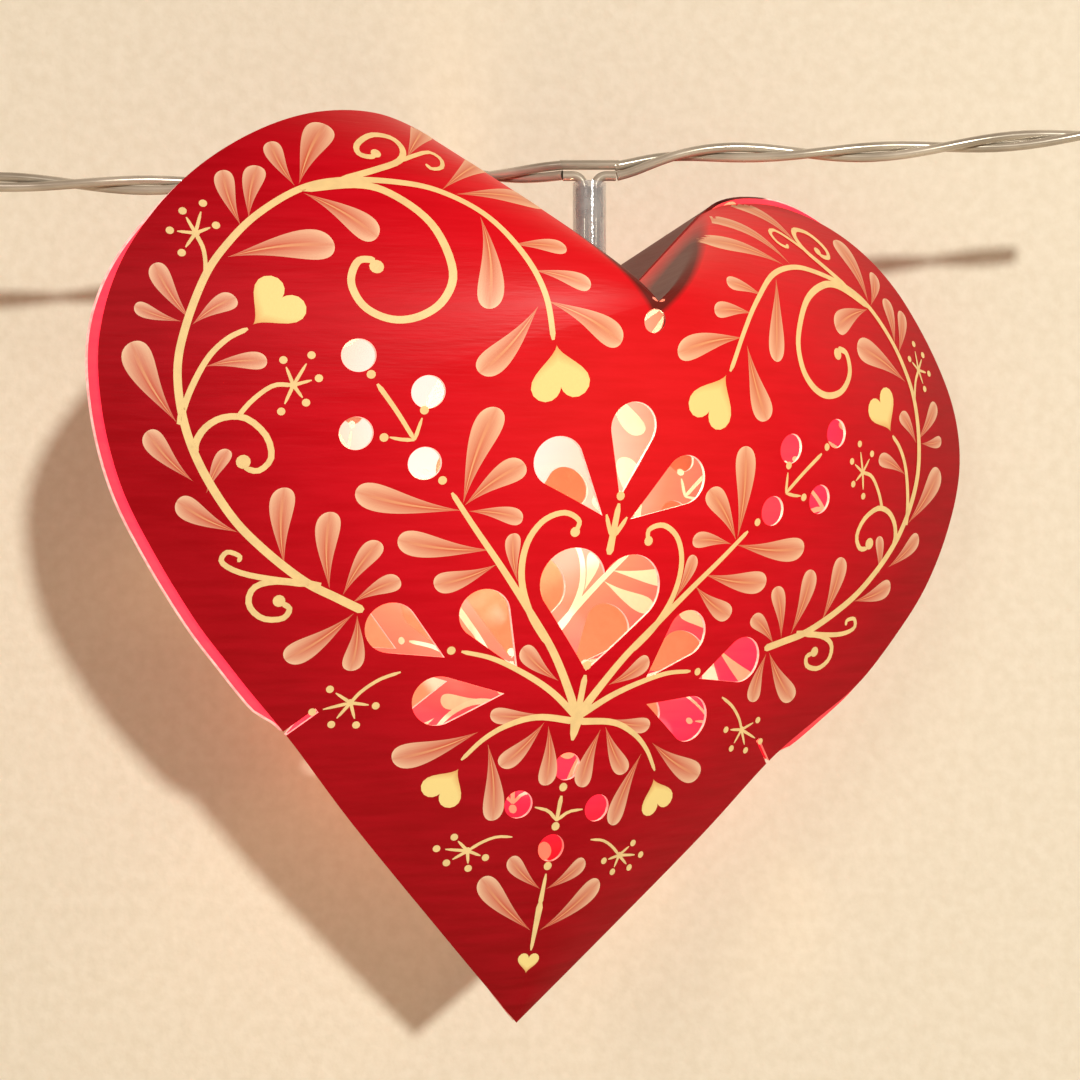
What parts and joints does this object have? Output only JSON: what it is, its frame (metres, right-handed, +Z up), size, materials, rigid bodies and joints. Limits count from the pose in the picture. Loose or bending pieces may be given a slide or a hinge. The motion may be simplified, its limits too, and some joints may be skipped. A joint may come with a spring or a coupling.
{
  "type": "heart lantern on a light string",
  "caption": "Die-cut heart-shaped shade of two bowed plastic sheets round the LED of a light string held between wall hooks.",
  "frame": {"origin": "where the string crosses the lamp's head, on the axis of the lamp's sleeve; the part hangs from here", "axes": "+X along the string to the right, +Y away from the viewer into the wall, +Z up"},
  "size_m": [0.1974, 0.0823, 0.1256],
  "materials": {
    "red_sheet": "satin translucent sheet, lit from inside",
    "clear_sleeve": "clear, polished",
    "clear_seal": "cloudy silicone",
    "led_epoxy": "clear epoxy, glowing warm white",
    "tinned_steel": "tinned",
    "led_phosphor": "phosphor",
    "solder": "solder, satin",
    "white_tube": "matte",
    "clear_insulation": "clear insulation over tinned wire",
    "ferrule": "satin",
    "zinc": "bright zinc plate"
  },
  "bodies": {
    "string": {"through_strand": "clear_insulation", "cord_left": "clear_insulation", "cord_right": "clear_insulation", "loop_left": "clear_insulation", "loop_right": "clear_insulation", "crimp_left": "ferrule", "crimp_right": "ferrule", "hook_left": "zinc", "hook_right": "zinc"},
    "lamp": {"lamp_sleeve": "clear_sleeve", "head_seal": "clear_seal", "lens_seat": "clear_seal", "led_lens": "led_epoxy", "led_cup_lead": "tinned_steel", "led_post_lead": "tinned_steel", "led_chip": "led_phosphor", "solder_joints": "solder", "lead_insulator": "white_tube", "drop_strand_left": "clear_insulation", "drop_strand_right": "clear_insulation"},
    "shade": {"front_shell": "red_sheet", "back_shell": "red_sheet"}
  },
  "joints": [
    {"name": "lamp_swing", "type": "hinge", "parent": "string", "child": "lamp", "pos_m": [0, 0, 0], "axis": [1, 0, 0], "range_deg": [-25, 15]},
    {"name": "shade_swivel", "type": "hinge", "parent": "lamp", "child": "shade", "pos_m": [0, 0, -0.019], "axis": [0, 0, 1], "range_deg": [0, 100]}
  ]
}
